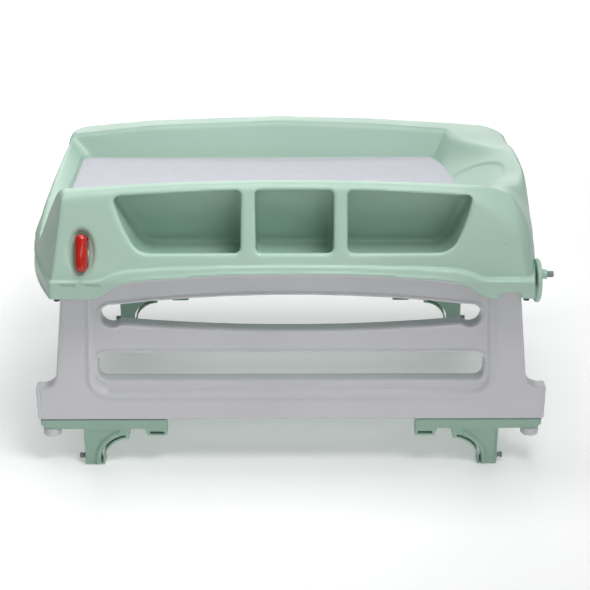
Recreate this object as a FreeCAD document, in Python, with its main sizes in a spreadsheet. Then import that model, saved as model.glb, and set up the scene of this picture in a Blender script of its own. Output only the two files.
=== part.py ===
import FreeCAD, Part
import math
import os
import Sketcher

# Changing table that stands across a bath or a cot.  A moulded tray with three storage pockets
# carries a padded mat and hinges on two folding leg frames.  Four brackets slide along the rails
# of the frames.  Millimetres, +Z up, front towards -Y, origin under the middle of the tray.

vector = FreeCAD.Vector
doc = FreeCAD.newDocument("ChangingTable")

SIZES = {
    # tray
    "tray_left": 405, "tray_right": 397, "tray_front": 318, "tray_back": 312,
    "front_corner_left": 352, "front_corner_right": 356, "back_corner_radius": 40,
    "skirt_bottom": 308, "ridge_height": 336, "wall": 4,
    "console_front": 262, "console_back": 238, "console_top": 467, "console_end_top": 451,
    "back_wall_top": 401, "back_wall_end": 379, "back_wall_inner": 262, "back_wall_outer": 284,
    "side_top": 390,
    "floor_height": 336, "floor_left": 376, "floor_right": 296,
    "floor_front": 186, "floor_back": 228, "head_slope_end": 386, "head_top": 392,
    "foot_slope_end": 400, "foot_top": 366,
    "pocket_wall": 6, "pocket_floor": 352, "pocket_lip": 373, "pocket_top": 458,
    "skirt_arch_half": 285, "skirt_arch_top": 346, "skirt_arch_shoulder": 336,
    "end_arch_half": 140, "end_arch_top": 330,
    # mat
    "mat_thickness": 14, "mat_gap": 3, "mat_end_bulge": 30,
    # leg frames
    "frame_centre": 258, "frame_thickness": 26, "rail_half": 391, "rail_bottom": 81, "rail_top": 138,
    "post_foot": 361, "post_head": 345, "shoulder_top": 160, "frame_top": 340, "frame_shoulder": 326,
    "low_slot_half": 296, "low_slot_bottom": 150, "low_slot_top": 196, "low_slot_corner": 13,
    "high_slot_half": 288, "high_slot_bottom": 235, "high_slot_top": 292, "high_slot_end": 262,
    "panel_half": 299, "panel_bottom": 136, "panel_recess": 2.5, "panel_top": 327,
    "hinge_height": 312, "rod_radius": 4, "rod_half": 358, "rod_play": 0.05,
    "groove_neck": 8, "groove_head": 16, "groove_neck_depth": 6, "groove_depth": 16,
    "end_cap_thickness": 3,
    # sliding brackets
    "bracket_width": 24, "bracket_length": 197, "plate_bottom": 64, "slide_gap": 0.5,
    "leg_outer": 66, "leg_inner": 97, "saddle_radius": 39, "saddle_rise": 7.5, "tab_length": 31, "tab_bottom": 52,
    "foot_radius": 14, "foot_thickness": 13, "foot_place": 16,
    "bumper_radius": 4.5, "bumper_length": 10, "bumper_height": 11, "stem_radius": 2.5, "stem_length": 12,
    # release lever
    "lever_place": 305, "lever_height": 375, "lever_width": 17, "lever_length": 56, "lever_thickness": 14,
    "dish_width": 38, "dish_length": 70, "dish_depth": 8, "pivot_drop": 13, "pivot_rise": 20,
    "pivot_radius": 2, "pivot_length": 32,
    # side plate, peg and buffers
    "plate_radius": 33, "plate_thickness": 7, "peg_radius": 7.5, "peg_length": 11, "peg_tip_radius": 4.8,
    "peg_tip_length": 10, "peg_lift": 10, "side_wall": 365.5, "buffer_radius": 4.5, "buffer_thickness": 5,
}


class Size:
    """A number together with the spreadsheet formula that it comes from."""

    def __init__(self, value, formula):
        self.value = value
        self.formula = formula

    def join(self, other, sign, value, swap=False):
        text = other.formula if isinstance(other, Size) else repr(other)
        first, second = (text, self.formula) if swap else (self.formula, text)
        return Size(value, "(%s %s %s)" % (first, sign, second))

    def __add__(self, other):
        return self.join(other, "+", self.value + number(other))

    def __radd__(self, other):
        return self.join(other, "+", number(other) + self.value, True)

    def __sub__(self, other):
        return self.join(other, "-", self.value - number(other))

    def __rsub__(self, other):
        return self.join(other, "-", number(other) - self.value, True)

    def __mul__(self, other):
        return self.join(other, "*", self.value * number(other))

    def __rmul__(self, other):
        return self.join(other, "*", number(other) * self.value, True)

    def __truediv__(self, other):
        return self.join(other, "/", self.value / number(other))

    def __neg__(self):
        return Size(-self.value, "(-1 * %s)" % self.formula)


class Sheet:
    """The driving dimensions, each one a spreadsheet cell with an alias."""

    def __init__(self, sizes):
        cells = doc.addObject("Spreadsheet::Sheet", "Sizes")
        for row, (name, value) in enumerate(sizes.items(), 1):
            cells.set("A%d" % row, name)
            cells.set("B%d" % row, str(value))
            cells.setAlias("B%d" % row, name)
            setattr(self, name, Size(value, "Sizes.%s" % name))
        doc.recompute()


def number(size):
    return size.value if isinstance(size, Size) else size


def bind(thing, name, size):
    """Give a property its number and, where it has one, its spreadsheet formula."""
    if isinstance(size, Size):
        thing.setExpression(name, size.formula)
    else:
        setattr(thing, name, size)


dim = Sheet(SIZES)


# ---------------------------------------------------------------- sketches and bodies
def new_body(label):
    body = doc.addObject("PartDesign::Body", label)
    body.Label = label
    return body


def new_sketch(body, role, lift=0):
    """A sketch on one of the body's own origin planes, lifted along the plane's normal."""
    plane = [f for f in body.Origin.OriginFeatures if f.Role == role][0]
    sketch = body.newObject("Sketcher::SketchObject", "Sketch")
    sketch.AttachmentSupport = [(plane, "")]
    sketch.MapMode = "FlatFace"
    if isinstance(lift, Size):
        sketch.AttachmentOffset = FreeCAD.Placement(vector(0, 0, lift.value), FreeCAD.Rotation())
        sketch.setExpression("AttachmentOffset.Base.z", lift.formula)
    return sketch


def pin_point(sketch, edge, end, point):
    """Hold one end of an edge at a place that the spreadsheet gives."""
    for kind, size in zip(("DistanceX", "DistanceY"), point):
        index = sketch.addConstraint(Sketcher.Constraint(kind, -1, 1, edge, end, float(number(size))))
        if isinstance(size, Size):
            sketch.setExpression("Constraints[%d]" % index, size.formula)


def flat(point):
    return vector(number(point[0]), number(point[1]), 0)


def draw_outline(sketch, outline):
    """A closed outline.  Each entry is a corner, or (corner, via) where an arc leads to it."""
    corners = [entry[0] if isinstance(entry[0], tuple) else entry for entry in outline]
    vias = [entry[1] if isinstance(entry[0], tuple) else None for entry in outline]
    edges = []
    for place, corner in enumerate(corners):
        before, after, via = flat(corners[place - 1]), flat(corner), vias[place]
        ends = (1, 2)
        if via is None:
            curve = Part.LineSegment(before, after)
        elif (flat(via) - before).cross(after - before).z < 0:
            curve = Part.Arc(after, flat(via), before)
            ends = (2, 1)
        else:
            curve = Part.Arc(before, flat(via), after)
        edges.append((sketch.addGeometry(curve, False), ends))
    for place, (edge, ends) in enumerate(edges):
        follower, follower_ends = edges[(place + 1) % len(edges)]
        sketch.addConstraint(Sketcher.Constraint("Coincident", edge, ends[1], follower, follower_ends[0]))
        pin_point(sketch, edge, ends[1], corners[place])


def draw_circle(sketch, centre, radius):
    edge = sketch.addGeometry(Part.Circle(flat(centre), vector(0, 0, 1), number(radius)), False)
    pin_point(sketch, edge, 3, centre)
    index = sketch.addConstraint(Sketcher.Constraint("Radius", edge, float(number(radius))))
    if isinstance(radius, Size):
        sketch.setExpression("Constraints[%d]" % index, radius.formula)


def pad(body, sketch, length, midplane=True, reverse=False):
    feature = body.newObject("PartDesign::Pad", "Pad")
    feature.Profile = sketch
    feature.Midplane = midplane
    feature.Reversed = reverse
    bind(feature, "Length", length)
    doc.recompute()
    return feature


def pocket(body, sketch, length, midplane=True, reverse=False):
    """Cut and make sure that the cut takes material away."""
    before = body.Shape.Volume
    feature = body.newObject("PartDesign::Pocket", "Pocket")
    feature.Profile = sketch
    feature.Midplane = midplane
    feature.Reversed = reverse
    bind(feature, "Length", length)
    doc.recompute()
    if body.Shape.Volume > before - 1:
        raise RuntimeError("a pocket of %s cuts nothing" % body.Label)
    return feature


def revolve(body, sketch):
    feature = body.newObject("PartDesign::Revolution", "Revolution")
    feature.Profile = sketch
    feature.ReferenceAxis = (sketch, ["V_Axis"])
    feature.Angle = 360
    doc.recompute()
    return feature


def fillet(body, radius, wanted):
    """Round the edges of the body's tip for which wanted(edge) is true."""
    tip = body.Tip
    names = ["Edge%d" % n for n, edge in enumerate(tip.Shape.Edges, 1) if wanted(edge)]
    feature = body.newObject("PartDesign::Fillet", "Fillet")
    feature.Base = (tip, names)
    feature.Radius = radius
    doc.recompute()
    return feature


def place(thing, x=0, y=0, z=0, tilt=0):
    """Put a sub-part where it belongs, turned about its X axis by tilt degrees."""
    turn = FreeCAD.Rotation(vector(1, 0, 0), tilt)
    thing.Placement = FreeCAD.Placement(vector(number(x), number(y), number(z)), turn)
    for axis, size in (("x", x), ("y", y), ("z", z)):
        if isinstance(size, Size):
            thing.setExpression("Placement.Base.%s" % axis, size.formula)


def rod(label, radius, length, x, y, z):
    """A round bar along X that starts at x."""
    bar = doc.addObject("Part::Cylinder", label)
    bar.Label = label
    bind(bar, "Radius", radius)
    bind(bar, "Height", length)
    bar.Placement = FreeCAD.Placement(vector(0, 0, 0), FreeCAD.Rotation(vector(0, 1, 0), 90))
    for axis, size in (("x", x), ("y", y), ("z", z)):
        bar.setExpression("Placement.Base.%s" % axis, (size * 1).formula)
    return bar


def solid_feature(label, shape):
    feature = doc.addObject("Part::Feature", label)
    feature.Label = label
    feature.Shape = shape
    return feature


# ---------------------------------------------------------------- plain prisms for the moulded tray
def loop_face(points, lift):
    """A face from corners, where (corner, via) is reached by an arc.  lift maps (a, b) to space."""
    corners = [entry[0] if isinstance(entry[0], tuple) else entry for entry in points]
    vias = [entry[1] if isinstance(entry[0], tuple) else None for entry in points]
    edges = []
    for index, corner in enumerate(corners):
        start, end = lift(*corners[index - 1]), lift(*corner)
        if vias[index] is None:
            edges.append(Part.makeLine(start, end))
        else:
            edges.append(Part.Arc(start, lift(*vias[index]), end).toShape())
    return Part.Face(Part.Wire(Part.__sortEdges__(edges)))


def prism_x(points, start, end, grow=0):
    """Outline in (y, z) pushed along X."""
    face = loop_face(points, lambda y, z: vector(start, y, z))
    return grown(face, grow).extrude(vector(end - start, 0, 0))


def prism_y(points, start, end, grow=0):
    """Outline in (x, z) pushed along Y."""
    face = loop_face(points, lambda x, z: vector(x, start, z))
    return grown(face, grow).extrude(vector(0, end - start, 0))


def prism_z(points, start, end, grow=0):
    """Outline in (x, y) pushed along Z."""
    face = loop_face(points, lambda x, y: vector(x, y, start))
    return grown(face, grow).extrude(vector(0, 0, end - start))


def grown(face, grow):
    return face.makeOffset2D(grow) if grow else face


BUFFER_SPOTS = ((-344, -309), (346, -309), (-392, 288), (384, 288))
PANEL_RISE = number(dim.console_top) - number(dim.ridge_height)
PANEL_LEAN = number(dim.tray_front) - number(dim.console_front)
PANEL_TILT = math.degrees(math.atan2(PANEL_LEAN, PANEL_RISE))
FAR = 500


def panel_y(z):
    """Where the leaning front panel is at height z."""
    return -number(dim.tray_front) + (z - number(dim.ridge_height)) * PANEL_LEAN / PANEL_RISE


def tray_plan():
    left, right = number(dim.tray_left), number(dim.tray_right)
    front, back = number(dim.tray_front), number(dim.tray_back)
    corner_left, corner_right = number(dim.front_corner_left), number(dim.front_corner_right)
    radius = number(dim.back_corner_radius)
    bend = radius * (1 - math.sqrt(0.5))
    return [
        ((-corner_left, -front), (-left + 14, -210)),
        (corner_right, -front),
        ((right, radius), (right - 14, -140)),
        (right, back - radius),
        ((right - radius, back), (right - bend, back - bend)),
        (-left + radius, back),
        ((-left, back - radius), (-left + bend, back - bend)),
        (-left, -2 * radius),
    ]


def tray_side():
    """Outer silhouette in (y, z), reaching well below the skirt."""
    front, back = number(dim.tray_front), number(dim.tray_back)
    inner, outer = number(dim.back_wall_inner), number(dim.back_wall_outer)
    console_back = number(dim.console_back)
    console_top, back_top = number(dim.console_top), number(dim.back_wall_top)
    return [
        (-front, 200),
        (-front, number(dim.ridge_height)),
        (-number(dim.console_front), console_top),
        (-console_back, console_top),
        (-console_back + 88, number(dim.side_top) + 12),
        (inner - 40, number(dim.side_top)),
        (inner - 10, back_top),
        (outer, back_top),
        (back, number(dim.skirt_bottom)),
        (back, 200),
    ]


def tops(grow):
    """The gently arched tops of the console and, behind it, of the back wall."""
    front, back = number(dim.tray_front), number(dim.tray_back)
    console_back = number(dim.console_back)
    console_end, console_top = number(dim.console_end_top), number(dim.console_top)
    wall_end, wall_top = number(dim.back_wall_end), number(dim.back_wall_top)
    console = [(-FAR, 150), (FAR, 150), (FAR, console_end - 14), ((-FAR, console_end - 14), (0, console_top))]
    wall = [(-FAR, 150), (FAR, 150), (FAR, wall_end), ((-FAR, wall_end), (0, wall_top))]
    front_part = prism_y(console, -front - 10, -console_back, grow)
    shoulder = prism_y(console, -console_back, -console_back + 88, grow)
    back_part = prism_y(wall, -console_back + 88, back + 10, grow)
    return front_part.fuse(shoulder).fuse(back_part)


def console_wall_y(z):
    """Where the leaning wall between the mat and the console is at height z."""
    rise = (z - number(dim.floor_height)) / (number(dim.console_top) - number(dim.floor_height))
    return -number(dim.floor_front) - rise * (number(dim.console_back) - number(dim.floor_front))


def changing_area(grow):
    """The hollow that takes the mat, with sloping walls on all sides."""
    back, floor = number(dim.floor_back), number(dim.floor_height)
    lean = (number(dim.back_wall_inner) - back) / (number(dim.back_wall_top) - floor)
    high = FAR
    lengthwise = [
        (console_wall_y(floor), floor),
        (back, floor),
        (back + (high - floor) * lean, high),
        (console_wall_y(high), high),
    ]
    across = [
        (-number(dim.floor_left), floor),
        (number(dim.floor_right), floor),
        (number(dim.head_slope_end), number(dim.head_top)),
        (FAR, number(dim.head_top) + 2),
        (FAR, FAR),
        (-FAR, FAR),
        (-FAR, number(dim.foot_top) + 2),
        (-number(dim.foot_slope_end), number(dim.foot_top)),
    ]
    return prism_x(lengthwise, -FAR, FAR, grow).common(prism_y(across, -FAR, FAR, grow))


def pocket_outlines():
    """The three pocket mouths in (x, z): the outer ones have one slanting side."""
    top, lip = number(dim.pocket_top), number(dim.pocket_lip)
    left = [(-254, top), ((-202, lip), (-240, lip + 26)), (-73, lip), (-73, top)]
    middle = [(-52, top), (-52, lip), (63, lip), (63, top)]
    right = [(82, top), (82, lip), (208, lip), ((262, top), (247, lip + 26))]
    return [left, middle, right]


def storage_pocket(outline, grow):
    """A mouth through the leaning panel and a bin behind it that reaches below the lip."""
    floor, lip = number(dim.pocket_floor), number(dim.pocket_lip)
    gap, inner = number(dim.pocket_wall), number(dim.wall) * 1.2
    high = FAR
    reach = [
        (-FAR, lip - 10),
        (console_wall_y(lip - 10) - gap, lip - 10),
        (console_wall_y(high) - gap, high),
        (-FAR, high),
    ]
    well = [
        (panel_y(floor) + inner, floor),
        (console_wall_y(floor) - gap, floor),
        (console_wall_y(lip + 2) - gap, lip + 2),
        (panel_y(lip + 2) + inner, lip + 2),
    ]
    corners = [entry[0] if isinstance(entry[0], tuple) else entry for entry in outline]
    ends = [x for x, z in corners if z == lip]
    mouth = prism_y(outline, -FAR, 0, grow).common(prism_x(reach, -FAR, FAR, grow))
    return mouth.fuse(prism_x(well, min(ends) - grow, max(ends) + grow, grow))


def on_panel(shape):
    """Move a shape drawn about the origin, facing -Y, to the lever's place on the panel."""
    height = number(dim.lever_height)
    turn = FreeCAD.Rotation(vector(1, 0, 0), -PANEL_TILT)
    moved = shape.copy()
    spot = FreeCAD.Placement(vector(-number(dim.lever_place), panel_y(height), height), turn)
    moved.Placement = spot.multiply(moved.Placement)
    return moved


def stadium(width, length):
    half, straight = width / 2, (length - width) / 2
    return [
        (-half, -straight),
        ((half, -straight), (0, -straight - half)),
        (half, straight),
        ((-half, straight), (0, straight + half)),
    ]


def lever_dish(grow):
    """Shallow finger dish around the lever."""
    depth = number(dim.dish_depth)
    outline = stadium(number(dim.dish_width), number(dim.dish_length))
    return on_panel(prism_y(outline, -30, depth + grow, grow))


def tray_mass(inset):
    """The tray as if it were solid, with every face moved inwards by inset."""
    mass = prism_z(tray_plan(), 100, FAR + 20, -inset)
    mass = mass.common(prism_x(tray_side(), -FAR - 20, FAR + 20, -inset))
    mass = mass.common(tops(-inset))
    mass = mass.cut(changing_area(inset))
    for outline in pocket_outlines():
        mass = mass.cut(storage_pocket(outline, inset))
    return mass.cut(lever_dish(inset))


def skirt_cuts():
    """Arches in the skirt, the slots and the notch of the front flange."""
    half, shoulder = number(dim.skirt_arch_half), number(dim.skirt_arch_shoulder)
    end_half, end_top = number(dim.end_arch_half), number(dim.end_arch_top)
    low, top = number(dim.skirt_bottom), number(dim.skirt_arch_top)
    arch = [
        (-half, low - 20),
        (half, low - 20),
        (half, low),
        ((half - 34, shoulder), (half - 13, low + 17)),
        ((-half + 34, shoulder), (0, top)),
        ((-half, low), (-half + 13, low + 17)),
    ]
    end_arch = [(-end_half, low - 20), (end_half, low - 20), (end_half, low), (end_half - 20, end_top),
                (20 - end_half, end_top), (-end_half, low)]
    front, back = number(dim.tray_front), number(dim.tray_back)
    cuts = [
        prism_y(arch, -front - 5, -front + 20),
        prism_y(arch, back - 25, back + 5),
        prism_x(end_arch, -FAR, FAR),
        Part.makeBox(31, 20, 12, vector(306, -front - 5, low)),
    ]
    for start, length in ((-340, 25), (-303, 24)):
        cuts.append(Part.makeBox(length, 20, 3, vector(start, -front - 5, low + 20)))
    return cuts


def hinge_bosses():
    """Moulded bosses on the end walls that carry the ends of the hinge rods."""
    bosses = []
    height, centre = number(dim.hinge_height), number(dim.frame_centre)
    for y, left_wall, right_wall in ((-centre, 374, 362), (centre, 403, 395)):
        for start, end in ((-left_wall, -350), (350, right_wall)):
            bosses.append(Part.makeBox(end - start, 24, 31, vector(start, y - 12, height - 9)))
    return bosses


def buffer_seats():
    """Short moulded pillars that carry the rubber buffers."""
    radius, low = number(dim.buffer_radius) + 1.5, number(dim.skirt_bottom)
    seats = [Part.makeCylinder(radius, 12, vector(x, y, low)) for x, y in BUFFER_SPOTS]
    return Part.makeCompound(seats).common(tray_mass(0))


def lever_bosses():
    """Two ears behind the dish that hold the lever's pivot pin."""
    drop, rise = number(dim.pivot_drop), number(dim.pivot_rise)
    reach = number(dim.dish_depth) + number(dim.wall)
    ears = []
    for start in (-16, 9):
        ear = Part.makeBox(7, drop + 5 - reach + 1, 12, vector(start, reach - 1, rise - 6))
        ears.append(on_panel(ear))
    return ears


def make_tray_shell():
    wall = number(dim.wall)
    shell = tray_mass(0).cut(tray_mass(wall))
    room = Part.makeBox(2 * FAR, 2 * FAR, FAR, vector(-FAR, -FAR, number(dim.skirt_bottom)))
    shell = shell.common(room)
    for cut in skirt_cuts():
        shell = shell.cut(cut)
    for boss in hinge_bosses() + lever_bosses():
        shell = shell.fuse(boss)
    opening = stadium(number(dim.lever_width) + 3, number(dim.lever_length) + 3)
    shell = shell.cut(on_panel(prism_y(opening, -20, number(dim.dish_depth) + wall + 0.2)))
    seat_face, seat_depth = number(dim.side_wall), 6
    axle = vector(seat_face - seat_depth, -number(dim.frame_centre), number(dim.hinge_height))
    seat = Part.makeCylinder(number(dim.plate_radius) + 4, FAR, axle, vector(1, 0, 0))
    shell = shell.fuse(seat.common(tray_mass(0)).common(room))
    axle.x = seat_face
    shell = shell.cut(Part.makeCylinder(number(dim.plate_radius) + 0.4, FAR, axle, vector(1, 0, 0)))
    shell = shell.fuse(buffer_seats())
    pin_bore = Part.makeCylinder(number(dim.pivot_radius), 60, vector(-30, number(dim.pivot_drop),
                                                                       number(dim.pivot_rise)), vector(1, 0, 0))
    shell = shell.cut(on_panel(pin_bore))
    for y in (-number(dim.frame_centre), number(dim.frame_centre)):
        start = vector(-number(dim.rod_half), y, number(dim.hinge_height))
        bore = Part.makeCylinder(number(dim.rod_radius), 2 * number(dim.rod_half), start, vector(1, 0, 0))
        shell = shell.cut(bore)
    solids = sorted(shell.Solids, key=lambda solid: solid.Volume)
    return solid_feature("tray_shell", solids[-1].removeSplitter())


def make_mat():
    """Padded mat: straight at the foot end, bulging at the head end."""
    gap, bulge = dim.mat_gap, dim.mat_end_bulge
    left, right = -dim.floor_left + gap, dim.floor_right - gap
    front, back = -dim.floor_front + gap, dim.floor_back - gap
    body = new_body("changing_mat")
    sketch = new_sketch(body, "XY_Plane", dim.floor_height)
    middle = (dim.floor_back - dim.floor_front) / 2
    draw_outline(sketch, [(left, front), (right - bulge, front), ((right - bulge, back), (right, middle)),
                          (left, back)])
    pad(body, sketch, dim.mat_thickness, midplane=False)
    top = number(dim.floor_height) + number(dim.mat_thickness)
    fillet(body, 5, lambda edge: abs(edge.CenterOfMass.z - top) < 0.1)


# ---------------------------------------------------------------- leg frames
def frame_outline():
    rail, foot, head = dim.rail_half, dim.post_foot, dim.post_head
    low, high = dim.rail_bottom, dim.rail_top
    shoulder, top = dim.frame_shoulder, dim.frame_top
    return [
        (-rail, low),
        (rail, low),
        (rail, high),
        ((foot, dim.shoulder_top), (foot + 7, high + 6)),
        (head, shoulder - 26),
        ((head - 20, shoulder), (head - 5, shoulder - 5)),
        ((20 - head, shoulder), (0, top)),
        ((-head, shoulder - 26), (5 - head, shoulder - 5)),
        (-foot, dim.shoulder_top),
        ((-rail, high), (-foot - 7, high + 6)),
    ]


def low_slot():
    half, low, high = dim.low_slot_half, dim.low_slot_bottom, dim.low_slot_top
    radius = dim.low_slot_corner
    end, bend = half - radius, radius * 0.293
    return [
        ((-end, low), (bend - half, low + bend)),
        (end, low),
        ((half, low + radius), (half - bend, low + bend)),
        (half, high - radius),
        ((end, high), (half - bend, high - bend)),
        (-end, high),
        ((-half, high - radius), (bend - half, high - bend)),
        (-half, low + radius),
    ]


def high_slot():
    """Lens-shaped slot: both long edges are shallow arcs."""
    half, end = dim.high_slot_half, dim.high_slot_end
    low, high = dim.high_slot_bottom, dim.high_slot_top
    return [
        ((30 - half, end - 15), (-half, end - 2)),
        ((half - 30, end - 15), (0, low)),
        ((half - 21, end + 14), (half, end - 2)),
        ((21 - half, end + 14), (0, high)),
    ]


def recessed_panel():
    half, low, top = dim.panel_half, dim.panel_bottom, dim.panel_top
    return [
        ((24 - half, low), (7 - half, low + 7)),
        (half - 24, low),
        ((half, low + 24), (half - 7, low + 7)),
        (half - 6, top - 37),
        ((half - 20, top - 15), (half - 9, top - 21)),
        ((20 - half, top - 15), (0, top)),
        ((6 - half, top - 37), (9 - half, top - 21)),
        (-half, low + 24),
    ]


def rail_groove():
    """T-shaped groove under the rail for the runners of the brackets."""
    neck, head = dim.groove_neck / 2, dim.groove_head / 2
    low, deep = dim.rail_bottom, dim.groove_depth
    neck_top = low + dim.groove_neck_depth
    return [(-neck, low - 1), (neck, low - 1), (neck, neck_top), (head, neck_top), (head, low + deep),
            (-head, low + deep), (-head, neck_top), (-neck, neck_top)]


def make_frame(side, outward):
    """A folding leg frame.  outward is -1 at the front of the table and +1 at the back."""
    body = new_body("%s_frame_panel" % side)
    sketch = new_sketch(body, "XZ_Plane")
    draw_outline(sketch, frame_outline())
    pad(body, sketch, dim.frame_thickness)
    for outline in (low_slot(), high_slot()):
        sketch = new_sketch(body, "XZ_Plane")
        draw_outline(sketch, outline)
        pocket(body, sketch, dim.frame_thickness + 4)
    recess_start = dim.frame_thickness / 2 - dim.panel_recess
    sketch = new_sketch(body, "XZ_Plane", recess_start * -outward)
    draw_outline(sketch, recessed_panel())
    pocket(body, sketch, dim.panel_recess + 1, midplane=False, reverse=outward < 0)
    sketch = new_sketch(body, "YZ_Plane")
    draw_outline(sketch, rail_groove())
    pocket(body, sketch, dim.rail_half * 2 + 4)
    sketch = new_sketch(body, "YZ_Plane")
    draw_circle(sketch, (0, dim.hinge_height), dim.rod_radius + dim.rod_play)
    pocket(body, sketch, dim.rail_half * 2)
    place(body, y=dim.frame_centre * outward)
    for end, sign in (("left", -1), ("right", 1)):
        cap = new_body("%s_end_cap_%s" % (side, end))
        sketch = new_sketch(cap, "YZ_Plane")
        reach = dim.frame_thickness / 2 - 1
        low, high = dim.rail_bottom + 1, dim.rail_top - 2
        draw_outline(sketch, [(-reach, low), (reach, low), (reach, high), (-reach, high)])
        pad(cap, sketch, dim.end_cap_thickness, midplane=False, reverse=sign < 0)
        place(cap, x=dim.rail_half * sign, y=dim.frame_centre * outward)


def make_hinge_rod(side, outward):
    centre = dim.frame_centre * outward
    rod("%s_hinge_rod" % side, dim.rod_radius, dim.rod_half * 2, dim.rod_half * -1, centre, dim.hinge_height)
    washers = []
    for x in (-349, 347):
        spot = vector(x, centre.value, number(dim.hinge_height))
        ring = Part.makeCylinder(9, 2, spot, vector(1, 0, 0))
        washers.append(ring.cut(Part.makeCylinder(number(dim.rod_radius), 2, spot, vector(1, 0, 0))))
    solid_feature("%s_rod_washers" % side, Part.makeCompound(washers))


# ---------------------------------------------------------------- sliding brackets
def bracket_outline(mirror):
    """Plate, drop leg with a quarter-round saddle, and clip tab.  mirror is -1 on the left."""

    def at(inwards, height):
        return ((dim.rail_half - inwards) * mirror, height)

    length, under = dim.bracket_length, dim.plate_bottom
    top = dim.rail_bottom - dim.slide_gap
    outer, inner, radius, rise = dim.leg_outer, dim.leg_inner, dim.saddle_radius, dim.saddle_rise
    tab_start = length - dim.tab_length
    return [
        at(0, top),
        at(length, top),
        at(length, dim.tab_bottom),
        at(tab_start, dim.tab_bottom),
        at(tab_start - 4, under),
        at(inner + radius + 3, under),
        at(inner + radius + 1, radius + rise),
        (at(inner, 0), at(inner + radius * 0.28, radius * 0.69 + rise)),
        at(outer, 0),
        at(outer, under),
        at(8, under),
        at(0, under + 8),
    ]


def saddle_slot(mirror):
    """Curved slot that follows the saddle."""
    radius = number(dim.saddle_radius)
    centre = number(dim.leg_inner) + radius

    def at(distance, degrees):
        inwards = centre - distance * math.cos(math.radians(degrees))
        height = number(dim.saddle_rise) + distance * math.sin(math.radians(degrees))
        return ((dim.rail_half - inwards) * mirror, height)

    near, far = radius + 3, radius + 6.5
    return [at(near, 4), (at(near, 66), at(near, 35)), at(far, 66), (at(far, 4), at(far, 35))]


def runner_outline():
    neck, head = dim.groove_neck / 2 - dim.slide_gap, dim.groove_head / 2 - dim.slide_gap
    base = dim.rail_bottom - dim.slide_gap
    neck_top = dim.rail_bottom + dim.groove_neck_depth + dim.slide_gap
    head_top = dim.rail_bottom + dim.groove_depth - dim.slide_gap
    return [(-neck, base), (neck, base), (neck, neck_top), (head, neck_top), (head, head_top),
            (-head, head_top), (-head, neck_top), (-neck, neck_top)]


def make_bracket(side, outward, end, mirror):
    name = "%s_%s" % (side, end)
    centre = dim.frame_centre * outward
    body = new_body("bracket_%s" % name)
    sketch = new_sketch(body, "XZ_Plane")
    draw_outline(sketch, bracket_outline(mirror))
    pad(body, sketch, dim.bracket_width)
    sketch = new_sketch(body, "YZ_Plane", (dim.rail_half - 8) * mirror)
    draw_outline(sketch, runner_outline())
    pad(body, sketch, dim.bracket_length - 16, midplane=False, reverse=mirror > 0)
    sketch = new_sketch(body, "XZ_Plane")
    draw_outline(sketch, saddle_slot(mirror))
    pocket(body, sketch, dim.bracket_width + 4)
    sketch = new_sketch(body, "XZ_Plane")
    tab_end = dim.rail_half - dim.bracket_length
    slot_x = [(tab_end + 5) * mirror, (tab_end + 27) * mirror]
    slot_z = [dim.tab_bottom + 3, dim.tab_bottom + 7]
    draw_outline(sketch, [(slot_x[0], slot_z[0]), (slot_x[1], slot_z[0]), (slot_x[1], slot_z[1]),
                          (slot_x[0], slot_z[1])])
    pocket(body, sketch, dim.bracket_width + 4)
    leg_face = dim.rail_half - dim.leg_outer
    sketch = new_sketch(body, "YZ_Plane", leg_face * mirror)
    draw_circle(sketch, (0, dim.bumper_height), dim.stem_radius)
    pocket(body, sketch, dim.stem_length, midplane=False, reverse=mirror < 0)
    place(body, y=centre)
    make_rim_foot(name, centre, (dim.rail_half - dim.foot_place) * mirror)
    make_bumper(name, centre, leg_face * mirror, mirror)


def make_rim_foot(name, y, x):
    """Round foot that rests on the rim, slightly domed below."""
    radius, thick = dim.foot_radius, dim.foot_thickness
    body = new_body("rim_foot_%s" % name)
    sketch = new_sketch(body, "XZ_Plane")
    draw_outline(sketch, [(0, 0), (0, -thick), (radius - 4, -thick),
                          ((radius, 4 - thick), (radius - 1.2, 1.2 - thick)), (radius, 0)])
    revolve(body, sketch)
    place(body, x=x, y=y, z=dim.plate_bottom)


def make_bumper(name, y, x, mirror):
    """Rubber bumper pin: a stem in the leg and a domed head that presses on the wall."""
    radius, length = dim.bumper_radius, dim.bumper_length
    body = new_body("bumper_pin_%s" % name)
    sketch = new_sketch(body, "XZ_Plane")
    draw_outline(sketch, [(0, -dim.stem_length), (dim.stem_radius, -dim.stem_length), (dim.stem_radius, 0),
                          (radius, 0), (radius, length - 3), ((radius - 3, length), (radius - 0.9, length - 0.9)),
                          (0, length)])
    revolve(body, sketch)
    body.Placement = FreeCAD.Placement(vector(x.value, y.value, number(dim.bumper_height)),
                                       FreeCAD.Rotation(vector(0, 1, 0), 90 * mirror))
    for axis, size in (("x", x), ("y", y), ("z", dim.bumper_height)):
        body.setExpression("Placement.Base.%s" % axis, size.formula)


# ---------------------------------------------------------------- release lever
def lever_spot(depth=0, rise=0, sideways=0):
    """A place in space, given in the panel's own directions from the lever's centre."""
    tilt = math.radians(PANEL_TILT)
    height = number(dim.lever_height)
    along, into = (math.sin(tilt), math.cos(tilt)), (math.cos(tilt), -math.sin(tilt))
    return vector(sideways - number(dim.lever_place),
                  panel_y(height) + rise * along[0] + depth * into[0],
                  height + rise * along[1] + depth * into[1])


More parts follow.
